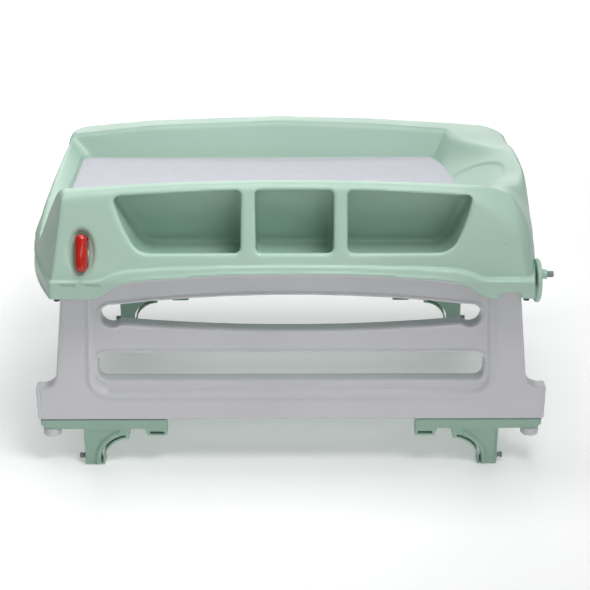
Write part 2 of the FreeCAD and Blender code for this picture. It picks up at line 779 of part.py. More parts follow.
def make_lever():
    body = new_body("release_lever")
    half, straight = dim.lever_width / 2, (dim.lever_length - dim.lever_width) / 2
    sketch = new_sketch(body, "XZ_Plane")
    draw_outline(sketch, [(-half, -straight), ((half, -straight), (0, -straight - half)), (half, straight),
                          ((-half, straight), (0, straight + half))])
    pad(body, sketch, dim.lever_thickness)
    fillet(body, 5, lambda edge: edge.CenterOfMass.y < -number(dim.lever_thickness) / 2 + 0.1)
    sketch = new_sketch(body, "YZ_Plane")
    drop, rise = dim.pivot_drop + 1, dim.pivot_rise
    draw_outline(sketch, [(dim.lever_thickness / 2 - 1, rise - 5), (drop + 1, rise - 5),
                          ((drop + 1, rise + 5), (drop + 6, rise)), (dim.lever_thickness / 2 - 1, rise + 5)])
    pad(body, sketch, 12)
    sketch = new_sketch(body, "YZ_Plane")
    draw_circle(sketch, (drop, rise), dim.pivot_radius + dim.rod_play)
    pocket(body, sketch, 40)
    body.Placement = FreeCAD.Placement(lever_spot(depth=-1), FreeCAD.Rotation(vector(1, 0, 0), -PANEL_TILT))
    pin = doc.addObject("Part::Cylinder", "lever_pivot_pin")
    pin.Label = "lever_pivot_pin"
    bind(pin, "Radius", dim.pivot_radius)
    bind(pin, "Height", dim.pivot_length)
    start = lever_spot(number(dim.pivot_drop), number(dim.pivot_rise), -number(dim.pivot_length) / 2)
    pin.Placement = FreeCAD.Placement(start, FreeCAD.Rotation(vector(0, 1, 0), 90))


def make_lever_spring():
    """Coil spring around the pivot pin, between the lever's ear and the moulded boss."""
    wire, coil = 0.4, number(dim.pivot_radius) + 1.1
    helix = Part.makeHelix(0.9, 2, coil)
    section = Part.Wire(Part.makeCircle(wire, vector(coil, 0, 0), vector(0, 1, 0)))
    spring = Part.Wire(helix.Edges).makePipeShell([section], True, True)
    feature = solid_feature("lever_spring", spring)
    start = lever_spot(number(dim.pivot_drop), number(dim.pivot_rise), 6.5)
    feature.Placement = FreeCAD.Placement(start, FreeCAD.Rotation(vector(0, 1, 0), 90))


# ---------------------------------------------------------------- small parts of the tray
def make_side_plate():
    """Round plate on the right end over the front hinge, with a peg and its rubber tip."""
    centre = -dim.frame_centre
    x = dim.side_wall
    rod("side_plate", dim.plate_radius, dim.plate_thickness, x, centre, dim.hinge_height)
    x = x + dim.plate_thickness
    lifted = dim.hinge_height + dim.peg_lift
    rod("side_peg", dim.peg_radius, dim.peg_length, x, centre, lifted)
    x = x + dim.peg_length
    rod("side_peg_tip", dim.peg_tip_radius, dim.peg_tip_length, x, centre, lifted)


def make_buffers():
    """Rubber buttons under the corners of the skirt."""
    radius, thick = number(dim.buffer_radius), number(dim.buffer_thickness)
    top = number(dim.skirt_bottom)
    buttons = []
    for x, y in BUFFER_SPOTS:
        buttons.append(Part.makeCylinder(radius, thick, vector(x, y, top - thick)))
    solid_feature("corner_buffers", Part.makeCompound(buttons))


make_tray_shell()
make_mat()
for side, outward in (("front", -1), ("back", 1)):
    make_frame(side, outward)
    make_hinge_rod(side, outward)
    for end, mirror in (("left", -1), ("right", 1)):
        make_bracket(side, outward, end, mirror)
make_lever()
make_lever_spring()
make_side_plate()
make_buffers()
doc.recompute()

failed = [thing.Label for thing in doc.Objects if "Invalid" in thing.State or "Error" in thing.State]
if failed:
    raise RuntimeError("failed objects: %s" % ", ".join(failed))
SOLID_TYPES = ("PartDesign::Body", "Part::Feature", "Part::Cylinder")
parts = [thing for thing in doc.Objects if thing.TypeId in SOLID_TYPES]
os.makedirs("parts", exist_ok=True)
for thing in parts:
    if thing.Shape.isNull() or not thing.Shape.isValid() or not thing.Shape.Solids:
        raise RuntimeError("%s has no valid solid" % thing.Label)
for thing in parts:
    thing.Shape.exportStep("parts/%s.step" % thing.Label)
    print("%-26s %9.1f cm3  %s" % (thing.Label, thing.Shape.Volume / 1000, thing.Shape.BoundBox))
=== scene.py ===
"""Looks of a folding changing table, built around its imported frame."""

import math

import bpy
import numpy as np
import openvdb
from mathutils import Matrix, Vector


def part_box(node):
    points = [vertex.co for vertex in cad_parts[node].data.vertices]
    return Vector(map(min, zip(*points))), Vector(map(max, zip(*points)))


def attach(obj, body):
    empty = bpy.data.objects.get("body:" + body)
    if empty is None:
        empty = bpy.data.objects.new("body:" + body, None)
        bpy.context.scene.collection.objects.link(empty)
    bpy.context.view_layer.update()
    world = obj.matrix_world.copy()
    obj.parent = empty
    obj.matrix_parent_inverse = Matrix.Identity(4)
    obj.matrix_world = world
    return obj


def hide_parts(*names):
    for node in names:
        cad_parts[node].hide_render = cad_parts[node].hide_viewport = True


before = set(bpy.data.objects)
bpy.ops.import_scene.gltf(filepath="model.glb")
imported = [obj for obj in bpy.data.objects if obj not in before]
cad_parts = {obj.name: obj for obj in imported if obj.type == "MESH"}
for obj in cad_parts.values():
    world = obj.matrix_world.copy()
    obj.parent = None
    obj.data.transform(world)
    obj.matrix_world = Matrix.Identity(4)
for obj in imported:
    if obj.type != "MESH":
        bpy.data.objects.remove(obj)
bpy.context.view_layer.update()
MM = 0.001


# ---------------------------------------------------------------- signed distance fields, in mm
def volume(low, high, step):
    """Open grids of coordinates over a box, with a margin of three cells."""
    axes = [np.arange(a - 3 * step, b + 4 * step, step, dtype=np.float32) for a, b in zip(low, high)]
    return np.meshgrid(*axes, indexing="ij", sparse=True)


def both(a, b, radius=0.0):
    """What two fields share, with its edges rounded."""
    if np.ndim(radius) == 0 and not radius:
        return np.maximum(a, b)
    outer = np.hypot(np.maximum(a + radius, 0), np.maximum(b + radius, 0))
    return np.minimum(np.maximum(a, b), -radius) + outer


def either(a, b, radius=0.0):
    """Two fields joined, with a fillet between them."""
    return -both(-a, -b, radius)


def without(a, b, radius=0.0):
    return both(a, -b, radius)


def ease(low, high, value):
    """0 below low, 1 above high, smooth between."""
    t = np.clip((value - low) / (high - low), 0, 1)
    return t * t * (3 - 2 * t)


def along(value, table):
    """Smooth curve through (place, height) pairs."""
    places, heights = zip(*table)
    t = np.linspace(places[0], places[-1], 400)
    line = np.interp(t, places, heights)
    width = 15
    window = np.hanning(width)
    padded = np.pad(line, width // 2, mode="edge")
    smooth = np.convolve(padded, window / window.sum(), mode="valid")
    return np.interp(value, t, smooth).astype(np.float32)


def arc_points(start, via, end, steps=9):
    """Points of the arc from start to end that passes through via, without start."""
    (ax, ay), (bx, by), (cx, cy) = start, via, end
    d = 2 * (ax * (by - cy) + bx * (cy - ay) + cx * (ay - by))
    sa, sb, sc = ax * ax + ay * ay, bx * bx + by * by, cx * cx + cy * cy
    ux = (sa * (by - cy) + sb * (cy - ay) + sc * (ay - by)) / d
    uy = (sa * (cx - bx) + sb * (ax - cx) + sc * (bx - ax)) / d
    radius = math.hypot(ax - ux, ay - uy)
    first, middle, last = (math.atan2(y - uy, x - ux) for x, y in (start, via, end))
    sweep = (last - first) % math.tau
    if (middle - first) % math.tau > sweep:
        sweep -= math.tau
    turns = [first + sweep * i / steps for i in range(1, steps + 1)]
    return [(ux + radius * math.cos(a), uy + radius * math.sin(a)) for a in turns]


def outline(entries):
    """Corners of a closed outline. An entry (corner, via) is reached by an arc."""
    corner = [e[0] if isinstance(e[0], tuple) else e for e in entries]
    points = []
    for i, entry in enumerate(entries):
        if isinstance(entry[0], tuple):
            points += arc_points(corner[i - 1], entry[1], entry[0])
        else:
            points.append(entry)
    return points


def polygon(points, u, v):
    """Distance to a closed outline in the plane of u and v, negative inside."""
    nearest, inside = np.float32(1e9), False
    for (ax, ay), (bx, by) in zip(points, points[1:] + points[:1]):
        ex, ey = bx - ax, by - ay
        t = np.clip(((u - ax) * ex + (v - ay) * ey) / (ex * ex + ey * ey + 1e-9), 0, 1)
        nearest = np.minimum(nearest, (u - ax - ex * t) ** 2 + (v - ay - ey * t) ** 2)
        if ay != by:
            crosses = ((ay > v) != (by > v)) & (u < ex * (v - ay) / ey + ax)
            inside = inside ^ crosses
    return np.where(inside, -1, 1).astype(np.float32) * np.sqrt(nearest)


def block(axes, low, high, radius=0.0):
    parts = [np.abs(c - (a + b) / 2) - (b - a) / 2 for c, a, b in zip(axes, low, high)]
    return both(both(parts[0], parts[1], radius), parts[2], radius)


def capsule(u, v, half, radius):
    """Upright rounded slot in the plane of u and v."""
    return np.hypot(u, v - np.clip(v, -half, half)) - radius


def solid(name, field, axes, body, look, nodes, simplify=0.012, smooth=2):
    """Turns a field into a mesh piece that rides on a body and stands for CAD nodes."""
    grid = openvdb.FloatGrid(50.0)
    grid.copyFromArray(np.array(np.broadcast_to(field, tuple(a.size for a in axes)), dtype=np.float32))
    points, triangles, quads = grid.convertToPolygons(0.0, simplify)
    first = np.array([a.flat[0] for a in axes])
    step = axes[0].flat[1] - axes[0].flat[0]
    places = ((points * step + first) * MM).tolist()
    mesh = bpy.data.meshes.new(name)
    mesh.from_pydata(places, [], triangles.tolist() + quads.tolist())
    mesh.validate()
    mesh.shade_smooth()
    piece = bpy.data.objects.new(name, mesh)
    bpy.context.collection.objects.link(piece)
    if smooth:
        modifier = piece.modifiers.new("even", "SMOOTH")
        modifier.factor, modifier.iterations = 0.5, smooth
    return dress(piece, body, look, nodes)


def dress(piece, body, look, nodes=()):
    piece.data.materials.clear()
    piece.data.materials.append(look)
    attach(piece, body)
    if nodes:
        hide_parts(*nodes)
    return piece


# ---------------------------------------------------------------- materials
def material(name):
    made = bpy.data.materials.new(name)
    made.use_nodes = True
    nodes, links = made.node_tree.nodes, made.node_tree.links
    shader = nodes["Principled BSDF"]
    place = nodes.new("ShaderNodeTexCoord").outputs["Object"]
    return made, nodes, links, shader, place


def noise(nodes, links, place, scale, detail=3.0, stretch=None):
    if stretch:
        mapping = nodes.new("ShaderNodeMapping")
        mapping.inputs["Scale"].default_value = stretch
        links.new(place, mapping.inputs["Vector"])
        place = mapping.outputs["Vector"]
    node = nodes.new("ShaderNodeTexNoise")
    node.inputs["Scale"].default_value = scale
    node.inputs["Detail"].default_value = detail
    links.new(place, node.inputs["Vector"])
    return node.outputs["Fac"]


def spread(nodes, links, value, low, high):
    """Maps the middle of a noise value to a range."""
    node = nodes.new("ShaderNodeMapRange")
    node.inputs["From Min"].default_value, node.inputs["From Max"].default_value = 0.3, 0.7
    node.inputs["To Min"].default_value, node.inputs["To Max"].default_value = low, high
    links.new(value, node.inputs["Value"])
    return node.outputs["Result"]


def tint(nodes, links, value, dark, light):
    node = nodes.new("ShaderNodeMix")
    node.data_type = "RGBA"
    node.inputs["A"].default_value, node.inputs["B"].default_value = (*dark, 1), (*light, 1)
    links.new(value, node.inputs["Factor"])
    return node.outputs["Result"]


def raise_surface(nodes, links, shader, layers):
    """Stacks bumps, each a (height value, distance in m, strength)."""
    normal = None
    for height, distance, strength in layers:
        bump = nodes.new("ShaderNodeBump")
        bump.inputs["Distance"].default_value = distance
        bump.inputs["Strength"].default_value = strength
        links.new(height, bump.inputs["Height"])
        if normal:
            links.new(normal, bump.inputs["Normal"])
        normal = bump.outputs["Normal"]
    links.new(normal, shader.inputs["Normal"])


def moulded(name, colour, rough, grain=0.25, specular=0.45, scuff=0.05):
    """Moulded plastic: fine spark-eroded grain, flow mottling and soft rubbed patches."""
    made, nodes, links, shader, place = material(name)
    cloud = spread(nodes, links, noise(nodes, links, place, 5.0), 0, 1)
    dark = tuple(c * 0.965 for c in colour)
    light = tuple(min(1, c * 1.03 + 0.004) for c in colour)
    links.new(tint(nodes, links, cloud, dark, light), shader.inputs["Base Color"])
    worn = noise(nodes, links, place, 14.0, 6.0, (1, 1, 2.4))
    links.new(spread(nodes, links, worn, rough - scuff, rough + scuff), shader.inputs["Roughness"])
    shader.inputs["Specular IOR Level"].default_value = specular
    fine = noise(nodes, links, place, 1300.0, 2.0)
    flow = noise(nodes, links, place, 26.0, 2.0)
    raise_surface(nodes, links, shader, [(flow, 0.0006, 0.10), (fine, 0.00006, grain)])
    return made


def quilted(name, colour):
    """Wipe-clean fabric with a fine weave and a faint embossed diamond pattern."""
    made, nodes, links, shader, place = material(name)
    cloud = spread(nodes, links, noise(nodes, links, place, 40.0, 5.0), 0, 1)
    links.new(tint(nodes, links, cloud, tuple(c * 0.95 for c in colour), colour), shader.inputs["Base Color"])
    waves = []
    for turn in (math.radians(45), math.radians(-45)):
        mapping = nodes.new("ShaderNodeMapping")
        mapping.inputs["Rotation"].default_value = (0, 0, turn)
        links.new(place, mapping.inputs["Vector"])
        wave = nodes.new("ShaderNodeTexWave")
        wave.inputs["Scale"].default_value = 17.0
        links.new(mapping.outputs["Vector"], wave.inputs["Vector"])
        waves.append(wave.outputs["Fac"])
    crossing = nodes.new("ShaderNodeMath")
    crossing.operation = "MAXIMUM"
    links.new(waves[0], crossing.inputs[0])
    links.new(waves[1], crossing.inputs[1])
    weave = noise(nodes, links, place, 2200.0, 1.0)
    slub = noise(nodes, links, place, 300.0, 3.0)
    raise_surface(nodes, links, shader, [(crossing.outputs[0], 0.0008, 0.12), (slub, 0.0003, 0.25),
                                         (weave, 0.00008, 0.5)])
    shader.inputs["Roughness"].default_value = 0.78
    shader.inputs["Sheen Weight"].default_value = 0.25
    shader.inputs["Sheen Roughness"].default_value = 0.5
    shader.inputs["Specular IOR Level"].default_value = 0.3
    return made


def metal(name, colour, rough):
    made, nodes, links, shader, place = material(name)
    cloud = spread(nodes, links, noise(nodes, links, place, 60.0), 0, 1)
    links.new(tint(nodes, links, cloud, tuple(c * 0.85 for c in colour), colour), shader.inputs["Base Color"])
    brushed = noise(nodes, links, place, 500.0, 3.0, (0.05, 1, 1))
    links.new(spread(nodes, links, brushed, rough - 0.08, rough + 0.08), shader.inputs["Roughness"])
    shader.inputs["Metallic"].default_value = 1.0
    raise_surface(nodes, links, shader, [(brushed, 0.00005, 0.4)])
    return made


MINT = moulded("mint_moulding", (0.400, 0.570, 0.475), 0.42)
DEEP_MINT = moulded("bracket_moulding", (0.300, 0.455, 0.370), 0.44)
WHITE = moulded("white_moulding", (0.60, 0.60, 0.625), 0.40)
RED = moulded("red_gloss", (0.46, 0.014, 0.006), 0.14, grain=0.03, specular=0.6, scuff=0.03)
GREY = moulded("grey_rubber_skin", (0.24, 0.255, 0.26), 0.58, grain=0.6, specular=0.3)
DARK = moulded("dark_rubber_skin", (0.055, 0.065, 0.065), 0.66, grain=0.6, specular=0.3)
STEEL = metal("turned_steel", (0.56, 0.57, 0.58), 0.32)
FABRIC = quilted("quilted_cover", (0.60, 0.605, 0.665))

# ---------------------------------------------------------------- tray
RIDGE, SKIRT = 336.0, 308.0  # heights of the ledge and of the skirt's lower edge
WALL = 5.5
APRON = 3.2  # how far the skirt stands in front of the walls above it
PANEL_FOOT, PANEL_SLOPE = -314.8, 50 / 131  # front of the console
CONSOLE_BACK, BACK_SLOPE = -186, 52 / 131  # back of the console
CONSOLE_TOP = 467
LEAN_FIT = 0.93  # a gap measured level, as a distance from a wall that leans this much
TILT = math.atan2(56, 131)  # lean of the lever and of the dish around it
SIDES = (("front", -1), ("back", 1))
ENDS = (("left", -1), ("right", 1))
PLAN = outline([((-352, -318), (-389, -215)), (356, -318), ((397, 100), (381, -140)), (397, 272),
                ((357, 312), (385, 300)), (-365, 312), ((-405, 272), (-393, 300)), (-405, -40), (-404, -110)])
LEFT_RIM = [(-400, 455), (-262, 453), (-235, 436), (-200, 398), (-172, 362), (-150, 349), (-110, 351),
            (-40, 361), (100, 371), (200, 377), (262, 380), (330, 381)]
RIGHT_RIM = [(-400, 440), (-262, 436), (-225, 433), (-190, 427), (-149, 417), (-60, 402), (48, 392),
             (177, 386), (240, 379), (330, 375)]
BACK_RIM = [(-420, 375), (-398, 380), (-250, 394), (-22, 402), (150, 397), (303, 387), (350, 383), (384, 375),
            (420, 370)]
SKIRT_EDGE = [(-420, 0), (-292, 0), (-280, 0.06), (-262, 0.46), (-240, 0.68), (-200, 0.80), (-100, 0.95),
              (0, 1.0), (100, 0.95), (200, 0.80), (240, 0.68), (262, 0.46), (280, 0.06), (292, 0), (420, 0)]


def panel_y(z):
    return PANEL_FOOT + np.maximum(z - RIDGE, -2) * PANEL_SLOPE


def console_y(z):
    return CONSOLE_BACK - (z - RIDGE) * BACK_SLOPE


def crown(x):
    """How far the console's top has sunk below its middle."""
    return 14.5 * (x / 340) ** 2


def upper_walls(x, y, z, plan, panel):
    """The walls above the ledge. They lean in, most at the foot end of the console."""
    rise = np.clip(z - RIDGE, 0, None)
    frontness = ease(-60, -215, y)
    leftness = ease(-250, -350, x)
    lean = 0.055 + 0.245 * frontness * leftness + 0.085 * ease(300, 360, x) * frontness
    lean = np.maximum(lean, 0.09 * ease(230, 300, y))
    corner = 3 + 27 * ease(0, 330, x)  # the console's foot end is sharp, its head end round
    return both(plan + APRON + rise * lean, panel, corner)


def rim_height(x, y):
    """Height of the top edge: two end rims, led into the back rim and into the console's top."""
    left, right = along(y, LEFT_RIM), along(y, RIGHT_RIM)
    rim = left + (right - left) * ease(-300, 330, x)
    rim = rim + (along(x, BACK_RIM) - rim) * ease(150, 250, y)
    console = CONSOLE_TOP - crown(x) - 18 * ease(285, 372, x)
    return rim + (console - rim) * ease(-215, -244, y) * ease(-372, -335, x)


def mat_hollow(x, y, z):
    """The room over the mat, between back wall, console, foot end and head rest."""
    floor = RIDGE - z
    back = (y - 228 - (z - RIDGE) * 0.50) * 0.90
    front = (console_y(z) + 150 * ease(225, 345, x) - y) * 0.85
    foot_end = (-376 - np.maximum(z - 348, 0) * 0.95 - x) * 0.75
    # the head rest starts at a curved line and rises less and less steeply towards the front
    reach = 300 - 36 * ((y + 50) / 270) ** 2
    fan = 2.0 - 1.30 * ease(120, 222, y) + 0.5 * ease(-60, -200, y)
    head = (x - reach - (z - 349) * fan) / np.sqrt(1 + fan * fan)
    hollow = both(both(floor, back, 9), foot_end, 14)
    hollow = both(hollow, both(front, head, 12 + 60 * ease(200, 300, x)), 5)
    # shallow round dish in the head rest
    dish = np.hypot(x - 300, y - 62) - 60
    return either(hollow, both(both(dish, head - 3.0, 3), floor, 3), 3)


def cut_pockets(body, x, y, z, panel):
    """Each pocket is a mouth in the panel and a well that goes deeper behind it."""
    level = z + crown(x) * np.clip((z - 373) / 85, 0, 1)
    depth = (y - console_y(z) + 8) * LEAN_FIT
    for corners in POCKETS:
        mouth = polygon(corners, x, level)
        lowered = polygon([lower(c) for c in corners], x, level)
        cut = both(mouth, depth, 9)
        well = both(both(lowered, depth, 9), panel + 9, 5)
        body = without(body, either(cut, well, 4), 5)
    return body


def cut_lever_seat(shell, x, y, z, plan):
    """Dish and slot of the lever, with a wall behind the dish."""
    out = (y - panel_y(z)) * math.cos(TILT)
    dx, dz = x - LEVER[0], (z - LEVER[2]) / math.cos(TILT)
    bowl = np.sqrt((dx / 19) ** 2 + (dz / 35) ** 2) - 1
    cup = both(bowl * 15, np.abs(out) - 8 + 5 * np.clip(bowl + 1, 0, 1) ** 2, 2)
    backing = both(bowl * 15 - 5, np.abs(out - 8.5) - 5.5, 2)
    shell = either(shell, both(backing, plan + 2), 0)
    shell = without(shell, cup, 2.5)
    return without(shell, both(capsule(dx, dz, 20.5, 9.1), np.abs(out) - 30, 1), 1.0)


def tray_field(x, y, z):
    """The whole moulding as one open shell."""
    plan = polygon(PLAN, x, y)
    panel = (panel_y(z) - y) * LEAN_FIT
    top = (z - rim_height(x, y)) * LEAN_FIT
    shoulder = ease(235, 340, x) * ease(40, -130, y)
    upper = both(upper_walls(x, y, z, plan, panel), top, 9 + 41 * shoulder)
    # skirt with its arches and ledge
    arch = along(x, SKIRT_EDGE) * (ease(-120, -230, y) + ease(120, 230, y))
    side_arch = along(y * 2.0, SKIRT_EDGE) * ease(250, 330, np.abs(x))
    ledge = RIDGE + 21 * arch + 8 * side_arch
    apron = both(plan, panel - APRON, 1)
    skirt = both(apron, z - ledge, 1.8)
    soft_edge = 7 + 36 * ease(255, 350, x) * ease(40, -90, y)
    body = without(either(upper, skirt, 1.2), mat_hollow(x, y, z), soft_edge)
    body = cut_pockets(body, x, y, z, panel)
    # wall thickness, open below, with a bead along the lower edge
    shell = without(body, body + WALL)
    edge = SKIRT + 38 * arch + 22 * side_arch
    lip = both(both(apron - 1.6, -apron - 4, 1), both(z - edge - 4.5, edge - z, 1), 1)
    shell = either(shell, lip, 1.2)
    shell = both(shell, SKIRT - z, 0.8)
    shell = without(shell, both(z - edge, -11 - plan, 0), 0.8)
    shell = cut_lever_seat(shell, x, y, z, plan)
    # thin slots under the ledge and the notch at the head end
    for start, end in THIN_SLOTS:
        shell = without(shell, block((x, y, z), (start, -330, 327.4), (end, -315.4, 331.6)), 0.8)
    shell = without(shell, block((x, y, z), *NOTCH, 3), 2)
    # seats of the corner buffers
    for place_x, place_y in BUFFERS:
        seat = both(np.hypot(x - place_x, y - place_y) - 6.5, np.abs(z - 313) - 5, 1)
        shell = either(shell, both(seat, plan + 0.5), 1.5)
    return shell


def lower(point):
    """Drops the bottom of a pocket's outline to the level of its floor."""
    return (point[0], point[1] - FLOOR_DROP * max(0, min(1, (420 - point[1]) / 47)))


POCKETS = [
    outline([(-82, 458), (-248, 457), ((-257, 447), (-255, 455)), ((-232, 388), (-247, 417)),
             ((-204, 372.5), (-220, 376)), (-82, 372.5), ((-74, 380), (-76, 375)), (-73, 449),
             ((-82, 458), (-75, 456))]),
    outline([(54, 458), (-44, 458), ((-52, 450), (-50, 456)), (-51, 380), ((-43, 372.5), (-49, 375)),
             (54, 372.5), ((62, 380), (60, 375)), (62, 450), ((54, 458), (60, 456))]),
    outline([(254, 457), (91, 458), ((83, 450), (85, 456)), (83, 380), ((91, 372.5), (85, 375)),
             (212, 372.5), ((240, 385), (229, 376)), ((263, 447), (254, 415)),
             ((254, 457), (262, 455))])]
FLOOR_DROP = 20.5
BUFFERS = [(-346, -310), (344, -308), (-392, 290), (384, 290)]
THIN_SLOTS = [(-340, -315), (-303, -279)]
NOTCH = (306, -330, 300), (337, -300, 317)
LEVER = (-305.0, -318 + (375 - 336) * 56 / 131, 375.0)

low, high = (-407, -322, 300), (400, 314, 470)
STEP = 2.2
tray_axes = volume(low, high, STEP)
tray = solid("tray_moulding", tray_field(*tray_axes), tray_axes, "tray", MINT, ["tray_shell"])

# ---------------------------------------------------------------- leg frames
FRAME_Y = 258  # middle of each leg frame
FRAME_HALF = 13  # half its thickness
RAIL_END = 391
FRAME_OUTLINE = outline([
    (-391, 81), (391, 81), (391, 138), ((361, 160), (368, 144)), (345, 300), ((325, 326), (340, 321)),
    ((-325, 326), (0, 340)), ((-345, 300), (-340, 321)), (-361, 160), ((-391, 138), (-368, 144))])
LOW_SLOT = outline([((-283, 150), (-292, 154)), (283, 150), ((296, 163), (292, 154)), (296, 183),
                    ((283, 196), (292, 192)), (-283, 196), ((-296, 183), (-292, 192)), (-296, 163)])
HIGH_SLOT = outline([((-258, 247), (-288, 260)), ((258, 247), (0, 235)), ((267, 276), (288, 260)),
                     ((-267, 276), (0, 292))])
BEAD = outline([((-275, 131), (-297, 138)), (275, 131), ((304, 160), (297, 138)), (298, 288),
                ((282, 311), (294, 305)), ((-282, 311), (0, 327)), ((-298, 288), (-294, 305)), (-304, 160)])


def frame_field(x, y, z, outward):
    out = (y - FRAME_Y * outward) * outward
    shape = polygon(FRAME_OUTLINE, x, z)
    bead = polygon(BEAD, x, z)
    # the window's field is sunk, with a raised bead and a fine groove around it
    face = FRAME_HALF - 3.5 * ease(0.5, -3.0, bead) + 3.4 * np.exp(-((bead - 4.8) / 3.6) ** 2)
    face = face - 0.9 * np.exp(-((bead - 13) / 2.5) ** 2)
    slots = polygon(HIGH_SLOT, x, z), polygon(LOW_SLOT, x, z)
    for slot in slots:
        face = face + 2.2 * np.exp(-((slot - 3.4) / 2.0) ** 2)
    plate = both(shape, both(out - face, -out - FRAME_HALF), 4.5)
    for slot in slots:
        plate = without(plate, slot, 2.6)
    # T-groove the brackets slide in, and the bore of the hinge rod
    groove = either(both(np.abs(out) - 4, z - 87.5), both(np.abs(out) - 8, np.abs(z - 92) - 5))
    plate = without(plate, groove, 0.6)
    return without(plate, np.hypot(y - FRAME_Y * outward, z - 312) - 4.1)


FRAME_STEP = 1.4
for side, outward in SIDES:
    centre = FRAME_Y * outward
    axes = volume((-RAIL_END, centre - 16, 81), (RAIL_END, centre + 16, 341), FRAME_STEP)
    solid(side + "_leg_frame", frame_field(*axes, outward), axes, side + "_frame", WHITE,
          [side + "_frame_panel"], simplify=0.008)

# ---------------------------------------------------------------- brackets
FOOT_X, PIN_FACE, PIN_Z = 375, 325, 11  # rim foot's middle; drop leg's outer face and its pin's height
BRACKET = outline([(0, 80.5), (197, 80.5), (197, 53), (196, 52), (166, 52), (162, 64), (139, 64), (137, 46.5),
                   ((97, 0), (108, 34.4)), (66, 0), (66, 64), (8, 64), (0, 72)])


def bracket_field(x, y, z, outward, mirror):
    inwards = RAIL_END - x * mirror
    out = (y - FRAME_Y * outward) * outward
    shape = polygon(BRACKET, inwards, z)
    saddle = np.hypot(inwards - 136, z - 7.5)
    arc_end = both(3.5 - z, inwards - 131)
    # a raised band follows the saddle, and the web behind it is set back
    band = both(np.abs(saddle - 49.2) - 3.4, both(inwards - 121, 1.5 - z))
    web = both(both(shape + 3.0, 54 - saddle), both(z - 62, inwards - 122))
    face = 11.4 - 2.2 * ease(0.8, -0.8, web) + 2.0 * ease(0.9, -0.9, band)
    plate = both(shape, both(out - face, -out - 12), 1.6)
    plate = without(plate, both(both(np.abs(saddle - 43.7) - 1.7, arc_end), np.abs(out) - 20), 0.8)
    tab_slot = both(np.abs(inwards - 181) - 11, np.abs(z - 57) - 2.2)
    plate = without(plate, tab_slot, 0.6)
    seam = both(np.abs(inwards - 164.5) - 0.6, both(66 - z, z - 81))
    plate = without(plate, both(seam, 10.6 - np.abs(out)), 0.3)
    runner = either(both(np.abs(out) - 3.5, np.abs(z - 85) - 6), both(np.abs(out) - 7.5, np.abs(z - 92) - 4))
    runner = both(runner, both(8 - inwards, inwards - 189))
    socket = both(np.hypot(y - FRAME_Y * outward, z - PIN_Z) - 2.6, inwards - 78)
    return without(either(plate, runner), socket)


def foot_field(x, y, z, cx, cy):
    radial = np.hypot(x - cx, y - cy)
    puck = both(radial - 14, np.abs(z - 57.5) - 6.5, 2.4)
    groove = both(np.abs(radial - 14.6) - 1.4, np.abs(z - 60.2) - 0.9)
    dimple = np.sqrt(radial ** 2 + (z - 46) ** 2) - 6.2
    return without(without(puck, groove, 0.4), dimple, 0.8)


def pin_field(x, y, z, cy, mirror, face):
    u = (x - face) * mirror
    radial = np.hypot(y - cy, z - PIN_Z)
    stem = both(radial - 2.5, both(-u - 12, u - 1), 0.4)
    head = both(radial - 4.5, both(-u, u - 10, 0), 1.8)
    waist = both(np.abs(radial - 5.2) - 1.6, np.abs(u - 4.6) - 1.2)
    return either(stem, without(head, waist, 0.5), 0.5)


SMALL = 0.8  # grid of the small turned parts
BRACKET_STEP = 1.0
for side, outward in SIDES:
    cy = FRAME_Y * outward
    for end, mirror in ENDS:
        name, body = "%s_%s" % (side, end), "%s_%s_bracket" % (side, end)
        ends_x = sorted((RAIL_END * mirror, 194 * mirror))
        axes = volume((ends_x[0], cy - 12, 0), (ends_x[1], cy + 12, 97), BRACKET_STEP)
        solid("slide_bracket_" + name, bracket_field(*axes, outward, mirror), axes, body,
              DEEP_MINT, ["bracket_" + name], simplify=0.008, smooth=1)
        cx = FOOT_X * mirror
        axes = volume((cx - 15, cy - 15, 50), (cx + 15, cy + 15, 64), SMALL)
        solid("foot_" + name, foot_field(*axes, cx, cy), axes, body, WHITE,
              ["rim_foot_" + name], simplify=0.0)
        face = PIN_FACE * mirror
        ends_x = sorted((face - 12 * mirror, face + 10 * mirror))
        axes = volume((ends_x[0], cy - 5, 6), (ends_x[1], cy + 5, 16), SMALL / 1.6)
        solid("bumper_" + name, pin_field(*axes, cy, mirror, face), axes, body, GREY,
              ["bumper_pin_" + name], simplify=0.0, smooth=1)
        start = RAIL_END * mirror
        ends_x = sorted((start - 3 * mirror, start + 3 * mirror))
        axes = volume((ends_x[0], cy - 13, 81), (ends_x[1], cy + 13, 138), SMALL)
        rim = both(np.abs(axes[1] - cy) - 12.8, np.abs(axes[2] - 109.5) - 28.3, 4.5)
        cap = both(rim, np.abs(axes[0] - start) - 3, 2.4)
        solid("end_cap_" + name, cap, axes, side + "_frame", WHITE,
              ["%s_end_cap_%s" % (side, end)], simplify=0.0, smooth=1)

# ---------------------------------------------------------------- release lever
def lever_field(x, y, z):
    """In the panel's own directions: rise up the panel, out towards the front."""
    dy, dz = y - LEVER[1], z - LEVER[2]
    rise = dy * math.sin(TILT) + dz * math.cos(TILT)
    depth = dy * math.cos(TILT) - dz * math.sin(TILT)
    crown = -7.5 - 2.5 * np.cos(np.clip(rise / 28, -1, 1) * math.pi / 2)
    grip = both(capsule(x - LEVER[0], rise, 19.5, 8.5), crown - depth, 7.6)
    grip = both(grip, depth - 13, 1.0)
    eye = both(both(np.abs(x - LEVER[0]) - 6, np.hypot(rise - 20, depth - 13) - 6), 3 - depth)
    arm = both(both(np.abs(x - LEVER[0]) - 6, np.abs(rise - 20) - 5), both(3 - depth, depth - 14))
    grip = either(grip, either(eye, arm), 1.0)
    return without(grip, np.hypot(rise - 20, depth - 13) - 2.1)


